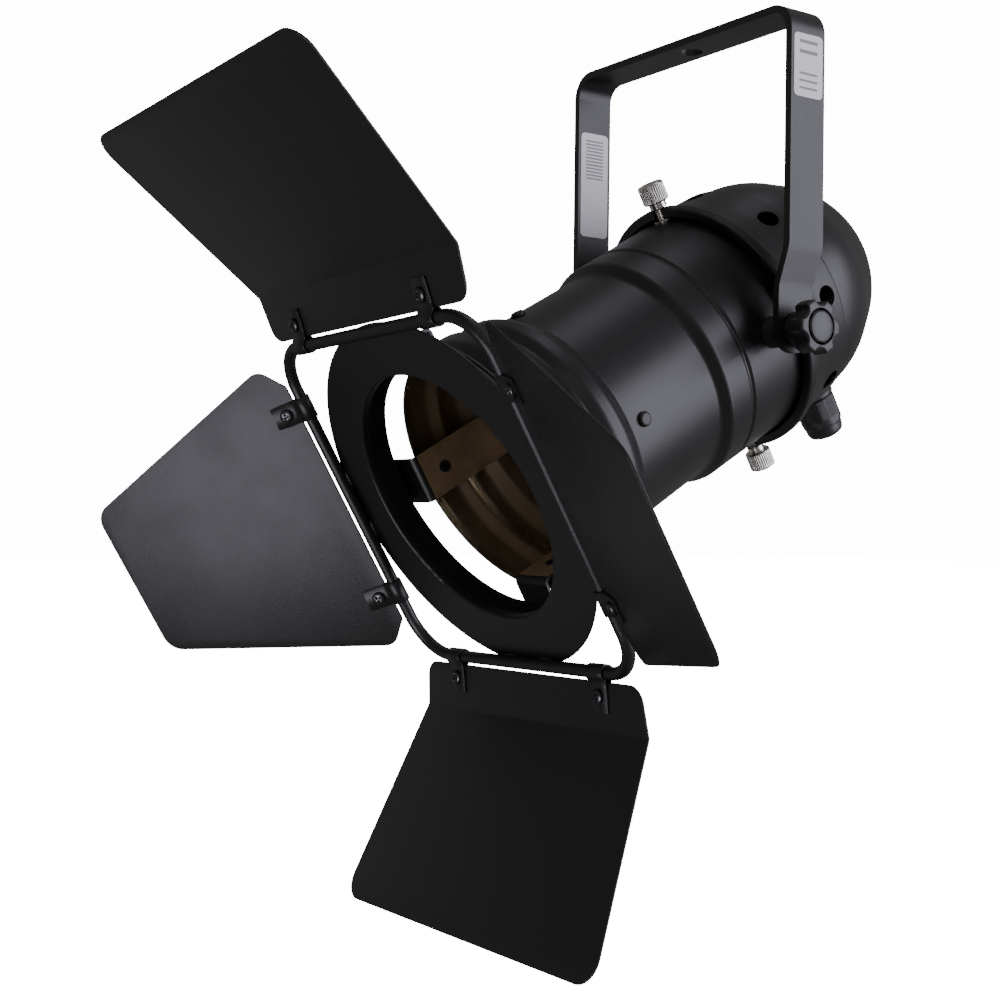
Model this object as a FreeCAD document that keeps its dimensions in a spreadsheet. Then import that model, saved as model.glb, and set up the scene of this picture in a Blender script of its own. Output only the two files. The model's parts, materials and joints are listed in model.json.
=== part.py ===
import FreeCAD, Part
import math
import os
import re
import Sketcher

# A small theatre par can lantern: a spun can hung in a flat-strap yoke, with a removable rear
# cap that carries the lamp, and a four-leaf barn door held in clips at the mouth.
#
# The row's origin is the centre of the hanging hole, on top of the yoke's bar, with +Z up.
# The light leaves towards -Y and the tilt axis is parallel to X.  The can's own frame has its
# origin on the tilt axis, +Z forward along the beam, +Y up and +X to the same side as the row's.

Vector = FreeCAD.Vector
Rotation = FreeCAD.Rotation
Placement = FreeCAD.Placement
X_AXIS, Y_AXIS, Z_AXIS = Vector(1, 0, 0), Vector(0, 1, 0), Vector(0, 0, 1)
HERE = Vector(0, 0, 0)

SIZES = {
    # yoke: a bent flat strap
    "yoke_width": 150.0,
    "yoke_height": 139.0,
    "strap_width": 20.0,
    "strap_thick": 3.5,
    "bend_radius": 12.0,
    "joggle_depth": 6.0,
    "joggle_low": 18.0,
    "joggle_high": 35.0,
    "hanging_radius": 5.5,
    # tilt pivots
    "stud_radius": 4.0,
    "running_gap": 0.08,
    "spacer_radius": 7.0,
    "knob_radius": 11.8,
    "knob_face": 84.3,
    "boss_radius": 7.6,
    # pose of the stored part, in degrees
    "tilt_angle": 30.2,
    "door_roll": 1.15,
    # can: a spun tube, radii outside, places along the beam from the tilt axis
    "wall": 1.0,
    "rear_radius": 55.5,
    "rear_end": -28.0,
    "groove_place": 20.0,
    "groove_depth": 0.8,
    "step_place": 34.5,
    "neck_start": 38.8,
    "neck_radius": 52.0,
    "neck_end": 89.5,
    "neck_end_radius": 53.0,
    "bulge_radius": 58.4,
    "waist_place": 107.0,
    "waist_radius": 56.4,
    "mouth_radius": 60.0,
    "mouth_place": 126.0,
    # rear cap
    "lip_place": -12.6,
    "lip_radius": 61.3,
    "lip_inside": 57.2,
    "band_place": -29.6,
    "band_radius": 57.7,
    "crease_place": -44.2,
    "crease_radius": 57.0,
    "dome_radius": 55.2,
    "dome_place": -60.0,
    "cap_end": -107.0,
    "crown_radius": 31.0,
    "vent_place": -36.5,
    "vent_radius": 5.0,
    "screw_place": -14.7,
    "gland_place": -61.0,
    # front clips and what they hold
    "clip_width": 22.0,
    "sheet": 1.2,
    "strap_inside": 48.8,
    "rivet_place": 81.4,
    "eyelet_place": 117.9,
    "channel_place": 131.0,
    "channel_radius": 69.0,
    "ring_radius": 68.6,
    "aperture_radius": 57.7,
    # barn door
    "plate_front": 149.5,
    "plate_radius": 81.6,
    "wire_place": 152.3,
    "wire_side": 158.0,
    "wire_radius": 2.75,
    "wire_corner": 20.0,
    # leaves
    "leaf_thick": 1.0,
    "leaf_gap": 4.0,
    "leaf_bend": 29.0,
    "flange_length": 24.4,
    "blade_length": 95.8,
    "hinge_half": 78.2,
    "bend_half": 81.0,
    "blade_half": 94.2,
    "side_length": 125.0,
    "side_hinge_half": 61.0,
    "side_wide_half": 72.8,
    "side_wide_place": 14.0,
    "side_end_half": 38.0,
    "leaf_corner": 10.0,
    "tab_width": 11.0,
    "tab_thick": 0.8,
    "tab_length": 16.5,
    "tab_screw": 9.7,
    # each leaf's angle from the beam, in degrees
    "top_angle": 100.5,
    "left_angle": 52.0,
    "bottom_angle": 65.5,
    "right_angle": 67.5,
    # how far each leaf sits off centre along its wire
    "top_shift": 0.6,
    "left_shift": 2.2,
    "bottom_shift": 1.0,
    "right_shift": -3.8,
    # lamp and lamp holder
    "holder_radius": 19.0,
    "holder_front": -62.0,
    "holder_back": -96.4,
    "socket_radius": 14.2,
    "lamp_radius": 47.0,
    "lamp_front": 4.0,
    "plate_place": -98.0,
    "bracket_screw_reach": 12.0,
    "holder_screw_reach": 5.5,
}

doc = FreeCAD.newDocument("par_can_light")
sheet = doc.addObject("Spreadsheet::Sheet", "Sizes")
for row, (alias, size) in enumerate(SIZES.items(), start=1):
    sheet.set(f"A{row}", alias)
    sheet.set(f"B{row}", str(size))
    sheet.setAlias(f"B{row}", alias)
doc.recompute()

sub_parts = []


# ---------------------------------------------------------------- sketch and feature helpers


def formula(text):
    """Put the sheet's name in front of every alias in a formula."""

    def name(match):
        word = match.group(0)
        return f"Sizes.{word}" if word in SIZES else word

    return re.sub(r"[a-z][a-z_]*", name, str(text))


def number(text):
    """The value of a formula, as the document works it out."""
    return float(sheet.evalExpression(formula(text)))


def add_body(label, place):
    """Start a sub-part as a PartDesign body."""
    body = doc.addObject("PartDesign::Body", label)
    body.Label = label
    body.Placement = place
    sub_parts.append(body)
    return body


def add_sketch(body, role, shift=(0, 0, 0)):
    """Put a sketch on one of the body's own origin planes, shifted in the sketch's own axes."""
    sketch = body.newObject("Sketcher::SketchObject", f"{body.Name}_sketch")
    planes = [feature for feature in body.Origin.OriginFeatures if feature.Role == role]
    sketch.AttachmentSupport = [(planes[0], "")]
    sketch.MapMode = "FlatFace"
    sketch.AttachmentOffset = Placement(Vector(*[number(part) for part in shift]), Rotation())
    for axis, part in zip("xyz", shift):
        if part != 0:
            sketch.setExpression(f"AttachmentOffset.Base.{axis}", formula(part))
    return sketch


def apply_bound(sketch, bound):
    """Add constraints, each with the formula that drives it, or None."""
    indexes = sketch.addConstraint([constraint for constraint, _ in bound])
    for index, (_, text) in zip(indexes, bound):
        if text is not None:
            sketch.setExpression(f"Constraints[{index}]", formula(text))


def locate(geometry, point, x, y):
    """Constraints that hold a point of a sketch at formulas x and y."""
    bound = []
    for kind, axis, text in (("DistanceX", -2, x), ("DistanceY", -1, y)):
        if text == 0:
            bound.append((Sketcher.Constraint("PointOnObject", geometry, point, axis), None))
        else:
            held = Sketcher.Constraint(kind, -1, 1, geometry, point, number(text))
            bound.append((held, text))
    return bound


def outline(sketch, corners):
    """Draw a closed outline.  A corner is (x, y) or (x, y, rounding radius), as formulas."""
    count = len(corners)
    spots = [Vector(number(corner[0]), number(corner[1]), 0) for corner in corners]
    radii = [number(corner[2]) if len(corner) > 2 else 0.0 for corner in corners]
    starts, ends, middles = [], [], []
    for index, (spot, radius) in enumerate(zip(spots, radii)):
        back = (spots[index - 1] - spot).normalize()
        onward = (spots[(index + 1) % count] - spot).normalize()
        half = back.getAngle(onward) / 2
        reach = radius / math.tan(half)
        starts.append(spot + back * reach)
        ends.append(spot + onward * reach)
        bisector = (back + onward).normalize() if radius else Vector()
        middles.append(spot + bisector * (radius / math.sin(half) - radius))
    lines = []
    for index in range(count):
        line = Part.LineSegment(ends[index], starts[(index + 1) % count])
        lines.append(sketch.addGeometry(line))
    bound = []
    for index, corner in enumerate(corners):
        before, after = lines[index - 1], lines[index]
        if not radii[index]:
            bound.append((Sketcher.Constraint("Coincident", before, 2, after, 1), None))
            bound += locate(after, 1, corner[0], corner[1])
            continue
        turn = (spots[index] - spots[index - 1]).cross(spots[(index + 1) % count] - spots[index])
        left = turn.z > 0
        ordered = (starts[index], ends[index]) if left else (ends[index], starts[index])
        arc = sketch.addGeometry(Part.Arc(ordered[0], middles[index], ordered[1]))
        first, last = (1, 2) if left else (2, 1)
        tip = sketch.addGeometry(Part.Point(spots[index]), True)
        bound += [
            (Sketcher.Constraint("Tangent", before, 2, arc, first), None),
            (Sketcher.Constraint("Tangent", after, 1, arc, last), None),
            (Sketcher.Constraint("Radius", arc, radii[index]), corner[2]),
            (Sketcher.Constraint("PointOnObject", tip, 1, before), None),
            (Sketcher.Constraint("PointOnObject", tip, 1, after), None),
        ]
        bound += locate(tip, 1, corner[0], corner[1])
    apply_bound(sketch, bound)


def circle(sketch, x, y, radius):
    """Draw a circle from formulas for its centre and radius."""
    shape = Part.Circle(Vector(number(x), number(y), 0), Z_AXIS, number(radius))
    index = sketch.addGeometry(shape)
    bound = locate(index, 3, x, y)
    bound.append((Sketcher.Constraint("Radius", index, number(radius)), radius))
    apply_bound(sketch, bound)


def box_outline(sketch, low_x, low_y, high_x, high_y):
    """Draw an upright rectangle between two corners."""
    outline(sketch, [(low_x, low_y), (high_x, low_y), (high_x, high_y), (low_x, high_y)])


def regular_outline(sketch, flats, sides=6):
    """Draw a regular polygon round the sketch's origin, given its width across flats."""
    corners = []
    for index in range(sides):
        angle = (index + 0.5) * 360 / sides
        reach = f"({flats}) / 2 / cos({180 / sides})"
        corners.append((f"{reach} * cos({angle})", f"{reach} * sin({angle})"))
    outline(sketch, corners)


def feature(body, kind, sketch, length, symmetric=False, reverse=False):
    """Pad or pocket a sketch and check that it changed the body's volume."""
    volume = body.Shape.Volume if not body.Shape.isNull() else 0.0
    made = body.newObject(f"PartDesign::{kind}", f"{body.Name}_{kind.lower()}")
    made.Profile = sketch
    made.setExpression("Length", formula(length))
    made.SideType = "Symmetric" if symmetric else "One side"
    made.Reversed = reverse
    doc.recompute()
    change = body.Shape.Volume - volume
    if (change if kind == "Pad" else -change) < 1e-6:
        raise RuntimeError(f"{made.Name} changed the volume by {change}")
    return made


def pad(body, sketch, length, symmetric=False, reverse=False):
    return feature(body, "Pad", sketch, length, symmetric, reverse)


def pocket(body, sketch, length, symmetric=True, reverse=False):
    return feature(body, "Pocket", sketch, length, symmetric, reverse)


def revolve(body, sketch, axis="V_Axis"):
    """Turn a sketch a full turn round one of its own axes."""
    made = body.newObject("PartDesign::Revolution", f"{body.Name}_turned")
    made.Profile = sketch
    made.ReferenceAxis = (sketch, [axis])
    made.Angle = 360
    doc.recompute()
    return made


def turned(label, place, corners):
    """A sub-part turned round its own Z axis from an outline of (radius, place) corners."""
    body = add_body(label, place)
    sketch = add_sketch(body, "XZ_Plane")
    outline(sketch, corners)
    revolve(body, sketch)
    return body


def repeat_round(body, original, count, angle=360):
    """Repeat a feature round the body's Z axis and make the pattern the body's tip."""
    pattern = body.newObject("PartDesign::PolarPattern", f"{body.Name}_pattern")
    pattern.Originals = [original]
    axes = [feature for feature in body.Origin.OriginFeatures if feature.Role == "Z_Axis"]
    pattern.Axis = (axes[0], [""])
    pattern.Angle = angle
    pattern.Occurrences = count
    body.Tip = pattern
    doc.recompute()
    return pattern


def drill(body, role, holes, length=400):
    """Drill round holes, each (x, y, radius) in the plane's own axes, right through."""
    for hole in holes:
        sketch = add_sketch(body, role)
        circle(sketch, *hole)
        pocket(body, sketch, length)


# ---------------------------------------------------------------- frames

pivot = Vector(0, 0, -number("yoke_height"))
pivot_frame = Placement(pivot, Rotation())
can_frame = Placement(pivot, Rotation(X_AXIS, 90 + number("tilt_angle")))
door_frame = can_frame * Placement(HERE, Rotation(Z_AXIS, number("door_roll")))
SIDES = {"right": 90, "left": -90}
LEAVES = {"top": 0, "left": 90, "bottom": 180, "right": -90}
CLIPS = {"top": 0, "left": 90, "bottom": 180, "right": -90}


def pivot_side(side):
    """A frame on the tilt axis, Z outward to one side."""
    return pivot_frame * Placement(HERE, Rotation(Y_AXIS, SIDES[side]))


def can_radial(place, sign):
    """A frame at a place along the can, Z outward, upward for sign 1 and downward for -1."""
    return can_frame * Placement(Vector(0, 0, number(place)), Rotation(X_AXIS, -90 * sign))


def leaf_frame(side):
    """A leaf's frame: X along its hinge wire, Y along its flange, away from the wire."""
    centre = Placement(Vector(0, 0, number("wire_place")), Rotation(Z_AXIS, LEAVES[side]))
    opened = Rotation(X_AXIS, 90 - number(f"{side}_angle"))
    hinge = Placement(Vector(0, number("wire_side / 2"), 0), opened)
    return door_frame * centre * hinge


# ---------------------------------------------------------------- yoke and tilt pivots


def make_yoke():
    """One bent strap.  The arms step inward near their rounded ends, to meet the can."""
    body = add_body("yoke", pivot_frame)
    outer = "yoke_width / 2"
    inner = "(yoke_width / 2 - strap_thick)"
    low = "-strap_width / 2"
    right = [
        (f"{outer} - joggle_depth", low),
        (f"{outer} - joggle_depth", "joggle_low", 14),
        (outer, "joggle_high", 14),
        (outer, "yoke_height", "bend_radius"),
    ]
    inside = [
        (inner, "yoke_height - strap_thick", "bend_radius - strap_thick"),
        (inner, "joggle_high", 14),
        (f"{inner} - joggle_depth", "joggle_low", 14),
        (f"{inner} - joggle_depth", low),
    ]

    def mirrored(corners):
        return [(f"-({corner[0]})",) + corner[1:] for corner in reversed(corners)]

    sketch = add_sketch(body, "XZ_Plane")
    outline(sketch, right + mirrored(right) + mirrored(inside) + inside)
    pad(body, sketch, "strap_width", symmetric=True)
    trim = add_sketch(body, "YZ_Plane")
    box_outline(trim, -40, -40, 40, "yoke_height + 20")
    edge = "strap_width / 2"
    ends = f"{edge} - 0.05"
    high = "yoke_height + 5"
    outline(trim, [(f"-{edge}", f"-{edge}", ends), (edge, f"-{edge}", ends),
                   (edge, high), (f"-{edge}", high)])
    pocket(body, trim, 400)
    drill(body, "YZ_Plane", [(0, 0, "stud_radius + running_gap")])
    hole = add_sketch(body, "XY_Plane", (0, 0, "yoke_height"))
    circle(hole, 0, 0, "hanging_radius")
    pocket(body, hole, "strap_thick * 3")


def make_label(label, x, low, height):
    """A blank sticker on a yoke arm."""
    box = doc.addObject("Part::Box", label)
    box.Label = label
    box.setExpression("Length", "0.15")
    box.setExpression("Width", formula("strap_width - 3"))
    box.setExpression("Height", str(height))
    box.Placement = Placement(pivot + Vector(number(x), -number("strap_width / 2 - 1.5"), low),
                              Rotation())
    sub_parts.append(box)


def make_pivot(side):
    """One tilt pivot: star knob with its cap and stud, a spacer, and the nut inside the can."""
    place = pivot_side(side)
    arm = "yoke_width / 2 - joggle_depth"
    knob = add_body(f"knob_{side}", place)
    boss = add_sketch(knob, "XY_Plane", (0, 0, f"{arm} + 0.3"))
    circle(boss, 0, 0, "boss_radius")
    pad(knob, boss, "knob_face - yoke_width / 2 + joggle_depth - 3")
    star = add_sketch(knob, "XY_Plane", (0, 0, "knob_face - 8.5"))
    circle(star, 0, 0, "knob_radius")
    pad(knob, star, 8.5)
    scallop = add_sketch(knob, "XY_Plane", (0, 0, "knob_face - 10"))
    circle(scallop, "knob_radius + 1.9", 0, 4.3)
    cut = pocket(knob, scallop, 12, symmetric=False, reverse=True)
    repeat_round(knob, cut, 6)
    recess = add_sketch(knob, "XY_Plane", (0, 0, "knob_face"))
    circle(recess, 0, 0, 7.55)
    pocket(knob, recess, 3.0)
    bore = add_sketch(knob, "XY_Plane", (0, 0, f"{arm} - 1"))
    circle(bore, 0, 0, "stud_radius + 0.02")
    pocket(knob, bore, 11, symmetric=False, reverse=True)

    turned(f"knob_cap_{side}", place, [
        (0, "knob_face - 1.4"), (7.3, "knob_face - 1.4"), (7.3, "knob_face + 0.2", 1.2),
        (0, "knob_face + 0.9")])
    turned(f"pivot_stud_{side}", place, [
        (0, 49.0), ("stud_radius", 49.0), ("stud_radius", f"{arm} + 10"), (0, f"{arm} + 10")])
    bored = "stud_radius + running_gap"
    turned(f"spacer_{side}", place, [
        (bored, "rear_radius + 0.05"), ("spacer_radius", "rear_radius + 0.05"),
        ("spacer_radius", f"{arm} - strap_thick - 0.1"),
        (bored, f"{arm} - strap_thick - 0.1")])
    nut = add_body(f"pivot_nut_{side}", place)
    hexagon = add_sketch(nut, "XY_Plane", (0, 0, 49.4))
    regular_outline(hexagon, 13)
    circle(hexagon, 0, 0, bored)
    pad(nut, hexagon, 4.4)


# ---------------------------------------------------------------- can


def make_can():
    """The spun can: wide rear barrel, groove, step down to the neck, two flared beads."""
    outer = [
        ("rear_radius", "rear_end"),
        ("rear_radius", "groove_place - 1.6", 0.8),
        ("rear_radius - groove_depth", "groove_place - 0.3", 0.5),
        ("rear_radius - groove_depth", "groove_place + 0.3", 0.5),
        ("rear_radius", "groove_place + 1.6", 0.8),
        ("rear_radius", "step_place", 3),
        ("neck_radius", "neck_start", 3),
        ("neck_end_radius", "neck_end", 2),
        ("bulge_radius", "neck_end + 7", 5),
        ("bulge_radius", "waist_place - 5", 5),
        ("waist_radius", "waist_place", 1.5),
        ("mouth_radius", "waist_place + 5", 5),
        ("mouth_radius", "mouth_place - 5", 5),
        ("mouth_radius - 2.6", "mouth_place"),
    ]
    inner = [(f"{corner[0]} - wall",) + corner[1:] for corner in reversed(outer)]
    body = add_body("can_tube", can_frame)
    sketch = add_sketch(body, "XZ_Plane")
    outline(sketch, outer + inner)
    revolve(body, sketch)
    rivet = (0, "rivet_place", 1.65)
    drill(body, "YZ_Plane", [(0, 0, "stud_radius + 0.3"), rivet])
    drill(body, "XZ_Plane", [(0, "screw_place", 3.5), rivet])


def make_front_clip(side):
    """A strap riveted inside the can, with a channel at its front for the round frames."""
    turn = Placement(HERE, Rotation(Z_AXIS, CLIPS[side]))
    body = add_body(f"clip_{side}", can_frame * turn)
    sketch = add_sketch(body, "YZ_Plane")
    hook = "channel_place + 9.3"
    outline(sketch, [
        ("strap_inside", 62), ("strap_inside + sheet", 62),
        ("strap_inside + sheet", "channel_place", 1.8),
        ("channel_radius + sheet", "channel_place", 2.6),
        ("channel_radius + sheet", f"{hook} + sheet", 2.6),
        ("channel_radius - 3", f"{hook} + sheet"), ("channel_radius - 3", hook),
        ("channel_radius", hook, 1.4),
        ("channel_radius", "channel_place + sheet", 1.4),
        ("strap_inside", "channel_place + sheet", 3.0)])
    pad(body, sketch, "clip_width", symmetric=True)
    drill(body, "XZ_Plane", [(0, "rivet_place", 1.65), (0, "eyelet_place", 1.5)])


def make_ring_of(label, place, corners):
    """Four like fasteners round the can: an outline of (height, radius) turned, then repeated."""
    body = add_body(label, can_frame)
    sketch = add_sketch(body, "YZ_Plane", (0, place, 0))
    outline(sketch, corners)
    first = revolve(body, sketch, "H_Axis")
    repeat_round(body, first, 4)


def make_clip_fasteners():
    """Domed rivets that hold the clips to the neck, and the open eyelets near their fronts."""
    make_ring_of("clip_rivets", "rivet_place", [
        ("strap_inside - 1", 0), ("strap_inside - 1", 2.6, 0.6), ("strap_inside - 0.02", 2.6),
        ("strap_inside - 0.02", 1.6), ("neck_end_radius", 1.6),
        ("neck_end_radius", 3.3), ("neck_end_radius + 1.6", 3.3, 1.45),
        ("neck_end_radius + 1.6", 0)])
    back = "strap_inside + sheet + 0.02"
    make_ring_of("clip_eyelets", "eyelet_place", [
        ("strap_inside - 0.5", 0.9), ("strap_inside - 0.5", 2.8), ("strap_inside - 0.02", 2.8),
        ("strap_inside - 0.02", 1.46), (back, 1.46), (back, 2.4),
        ("strap_inside + sheet + 0.5", 2.4), ("strap_inside + sheet + 0.5", 0.9)])


def make_thumbscrew(side, sign):
    """A knurled thumbscrew through an open slot in the rear cap's rim."""
    turned(f"thumbscrew_{side}", can_radial("screw_place", sign), [
        (0, 50), (2.5, 50), (2.5, "lip_radius + 0.3"), (4.0, "lip_radius + 0.3"),
        (4.0, "lip_radius + 3.2"), (6.1, "lip_radius + 3.2", 0.5),
        (6.1, "lip_radius + 12.2", 0.7), (0, "lip_radius + 12.2")])


def make_screw_inserts():
    """The two threaded inserts in the can wall that take the thumbscrews."""
    body = add_body("screw_inserts", can_frame)
    sketch = add_sketch(body, "YZ_Plane", (0, "screw_place", 0))
    bored = "2.5 + running_gap"
    outline(sketch, [
        (48.2, bored), (48.2, 3.4), ("rear_radius + 0.05", 3.4), ("rear_radius + 0.05", 4.6),
        ("rear_radius + 0.8", 4.6), ("rear_radius + 0.8", bored)])
    first = revolve(body, sketch, "H_Axis")
    repeat_round(body, first, 2)


def make_colour_frame():
    """The round colour frame: one sheet folded double, open at the bore."""
    low = "channel_place + 5.1"
    turned("colour_frame", can_frame, [
        ("aperture_radius", low), ("ring_radius", low, 0.9), ("ring_radius", f"{low} + 2", 0.9),
        ("aperture_radius", f"{low} + 2"), ("aperture_radius", f"{low} + 1.2"),
        ("ring_radius - 0.8", f"{low} + 1.2", 0.15), ("ring_radius - 0.8", f"{low} + 0.8", 0.15),
        ("aperture_radius", f"{low} + 0.8")])


# ---------------------------------------------------------------- rear cap and its wiring


def make_rear_cap():
    """The domed rear cap: rolled lip, band of round vents, dome, slots and a gland seat."""
    body = add_body("rear_cap", can_frame)
    sketch = add_sketch(body, "XZ_Plane")
    outline(sketch, [
        ("lip_inside", "lip_place"),
        ("lip_radius", "lip_place", 1.2),
        ("lip_radius", "lip_place - 4.4", 1.2),
        ("band_radius + 1.2", "lip_place - 7.6", 1.6),
        ("band_radius", "band_place", 3),
        ("crease_radius", "crease_place", 0.8),
        ("dome_radius", "crease_place - 1.8", 0.8),
        ("dome_radius", "dome_place", 45),
        ("crown_radius", "cap_end", 49),
        (0, "cap_end"),
        (0, "cap_end + wall"),
        ("crown_radius - 0.5", "cap_end + wall", 48),
        ("dome_radius - wall", "dome_place - 0.2", 44),
        ("dome_radius - wall", "crease_place - 1.2", 0.6),
        ("crease_radius - wall", "crease_place + 0.4", 0.8),
        ("band_radius - wall", "band_place", 3),
        ("lip_inside", "lip_place - 8.2", 1.6)])
    revolve(body, sketch)
    slot = add_sketch(body, "XZ_Plane")
    outline(slot, [(-2.9, "screw_place - 2.9", 2.85), (2.9, "screw_place - 2.9", 2.85),
                   (2.9, "lip_place + 3"), (-2.9, "lip_place + 3")])
    pocket(body, slot, 400)
    vent = add_sketch(body, "XZ_Plane")
    circle(vent, 0, "vent_place", "vent_radius")
    repeat_round(body, pocket(body, vent, 400), 4, 135)
    seat = add_sketch(body, "XZ_Plane", (0, 0, 56.2))
    circle(seat, 0, "gland_place", 10.6)
    circle(seat, 0, "gland_place", 6.2)
    pad(body, seat, 7.7, reverse=True)
    entry = add_sketch(body, "XZ_Plane", (0, 0, 57))
    circle(entry, 0, "gland_place", 6.2)
    pocket(body, entry, 12, symmetric=False)
    drill(body, "XY_Plane", [("-bracket_screw_reach", 0, 2.2), ("bracket_screw_reach", 0, 2.2)])
    earth = add_sketch(body, "YZ_Plane", (0, 0, -60))
    circle(earth, 0, -53, 2.2)
    pocket(body, earth, 12, symmetric=False, reverse=True)


def make_gland():
    """The cable gland, on the underside of the cap: body, locknut, rubber seal and dome nut."""
    place = can_radial("gland_place", -1)
    turned("gland_body", place, [
        (4.7, 42), (6.0, 42), (6.0, 56.25), (10.3, 56.25), (10.3, 59.4, 0.5), (7.0, 59.4),
        (7.0, 66.0), (6.4, 66.0), (6.4, 60.0), (4.7, 60.0)])
    locknut = add_body("gland_locknut", place)
    hexagon = add_sketch(locknut, "XY_Plane", (0, 0, 44))
    regular_outline(hexagon, 17)
    circle(hexagon, 0, 0, 6.05)
    pad(locknut, hexagon, 4.4)
    turned("gland_seal", place, [(4.0, 60.1), (6.3, 60.1), (6.3, 70.0), (5.6, 72.0), (4.0, 72.0)])
    turned("gland_nut", place, [
        (7.08, 59.7), (10.1, 59.7, 0.4), (10.1, 73.2, 1.2), (9.2, 74.6, 3), (6.8, 80.6, 2.2),
        (4.6, 80.6), (4.6, 74.5), (6.0, 72.3), (7.08, 70.3)])


def make_lamp_holder():
    """The ceramic lamp holder with its brass shell and centre contact, on a bent bracket."""
    turned("lamp_holder", can_frame, [
        (0, "holder_back"), ("holder_radius + 1", "holder_back"),
        ("holder_radius + 1", "holder_back + 8", 1.5), ("holder_radius", "holder_back + 9", 1.5),
        ("holder_radius", "holder_front", 2), ("socket_radius", "holder_front"),
        ("socket_radius", "holder_back + 5"), (0, "holder_back + 5")])
    turned("holder_shell", can_frame, [
        ("socket_radius - 0.7", "holder_back + 5.1"), ("socket_radius - 0.1", "holder_back + 5.1"),
        ("socket_radius - 0.1", "holder_front - 4"), ("socket_radius - 0.7", "holder_front - 4")])
    turned("holder_contact", can_frame, [
        (0, "holder_back + 5.1"), (5, "holder_back + 5.1"), (5, "holder_back + 6", 0.4),
        (0, "holder_back + 6.6")])
    bracket = add_body("holder_bracket", can_frame)
    foot = add_sketch(bracket, "XY_Plane", (0, 0, "plate_place"))
    outline(foot, [(-26, -9), (-5, -9), (-5, -24.5), (5, -24.5), (5, -9), (26, -9), (26, 9),
                   (-26, 9)])
    pad(bracket, foot, 1.5)
    leg = add_sketch(bracket, "XY_Plane", (0, 0, "plate_place"))
    box_outline(leg, -5, -24.5, 5, -23)
    pad(bracket, leg, 30)
    drill(bracket, "XY_Plane", [("-bracket_screw_reach", 0, 2.04), ("bracket_screw_reach", 0, 2.04)])
    drill(bracket, "XY_Plane", [(0, "-holder_screw_reach", 1.5), (0, "holder_screw_reach", 1.5)])
    drill(bracket, "XZ_Plane", [(0, -77, 1.6)])


def add_screw(body, x, y, low, thread, head, head_height, length, nut_place=None, nut=0):
    """A pan-head screw along Z, its head's underside at low, and a nut if it has one."""
    way = 1 if length > 0 else -1
    sketch = add_sketch(body, "XZ_Plane", (x, 0, f"-({y})"))
    top = f"{low} - {way * head_height}"
    outline(sketch, [
        (0, top), (head, top, min(head_height, head) * 0.6), (head, low), (thread, low),
        (thread, f"{low} + {length}"), (0, f"{low} + {length}")])
    revolve(body, sketch)
    if nut_place is not None:
        flats = add_sketch(body, "XY_Plane", (x, y, nut_place))
        regular_outline(flats, nut)
        circle(flats, 0, 0, f"{thread} + 0.04")
        pad(body, flats, nut * 0.42, reverse=way < 0)


def make_rear_hardware():
    """Bracket screws, holder screws, terminal block and earth screw."""
    bracket = add_body("bracket_screws", can_frame)
    for x in ("-bracket_screw_reach", "bracket_screw_reach"):
        add_screw(bracket, x, 0, "cap_end + 0.4", 2.0, 3.6, 2.4, 10)
    screws = add_body("holder_screws", can_frame)
    ceramic = doc.getObject("lamp_holder")
    for y in ("-holder_screw_reach", "holder_screw_reach"):
        add_screw(screws, 0, y, "plate_place - 0.05", 1.45, 2.6, 1.8, 5)
        sketch = add_sketch(ceramic, "XY_Plane", (0, 0, "holder_back"))
        circle(sketch, 0, y, 1.5)
        pocket(ceramic, sketch, 4, symmetric=False, reverse=True)

    block = add_body("terminal_block", can_frame)
    base = add_sketch(block, "XY_Plane", (0, 0, -84))
    box_outline(base, -15, -37, 15, -24.6)
    pad(block, base, 14)
    for x in (-9, 9):
        well = add_sketch(block, "XY_Plane", (0, 0, -84))
        circle(well, x, -31, 2.0)
        pocket(block, well, 9, symmetric=False, reverse=True)
    middle = add_sketch(block, "XY_Plane", (0, 0, -70))
    circle(middle, 0, -31, 2.0)
    pocket(block, middle, 5, symmetric=False)
    drill(block, "XZ_Plane", [(-9, -78, 1.9), (9, -78, 1.9)], 200)
    fixing = add_sketch(block, "XZ_Plane", (0, 0, 20))
    circle(fixing, 0, -77, 1.6)
    pocket(block, fixing, 40, symmetric=True)
    clamps = add_body("terminal_screws", can_frame)
    for x in (-9, 9):
        sketch = add_sketch(clamps, "YZ_Plane", (0, -78, x))
        outline(sketch, [(-36.2, 0), (-36.2, 1.8), (-33.2, 1.8), (-33.2, 0)])
        revolve(clamps, sketch, "H_Axis")
    sketch = add_sketch(clamps, "YZ_Plane", (0, -77, 0))
    outline(sketch, [(-38.8, 0), (-38.8, 2.8, 0.6), (-37.05, 2.8), (-37.05, 1.5),
                     (-21.0, 1.5), (-21.0, 0)])
    revolve(clamps, sketch, "H_Axis")

    earth = add_body("earth_screw", can_frame)
    sketch = add_sketch(earth, "YZ_Plane")
    sketch.AttachmentOffset = Placement(HERE, Rotation(Y_AXIS, -90)) * Placement(
        Vector(0, -53, 0), Rotation())
    outline(sketch, [
        (-58.1, 0), (-58.1, 3.6, 1.2), (-55.4, 3.6), (-55.4, 2.0), (-45.0, 2.0), (-45.0, 0)])
    revolve(earth, sketch, "H_Axis")


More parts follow.
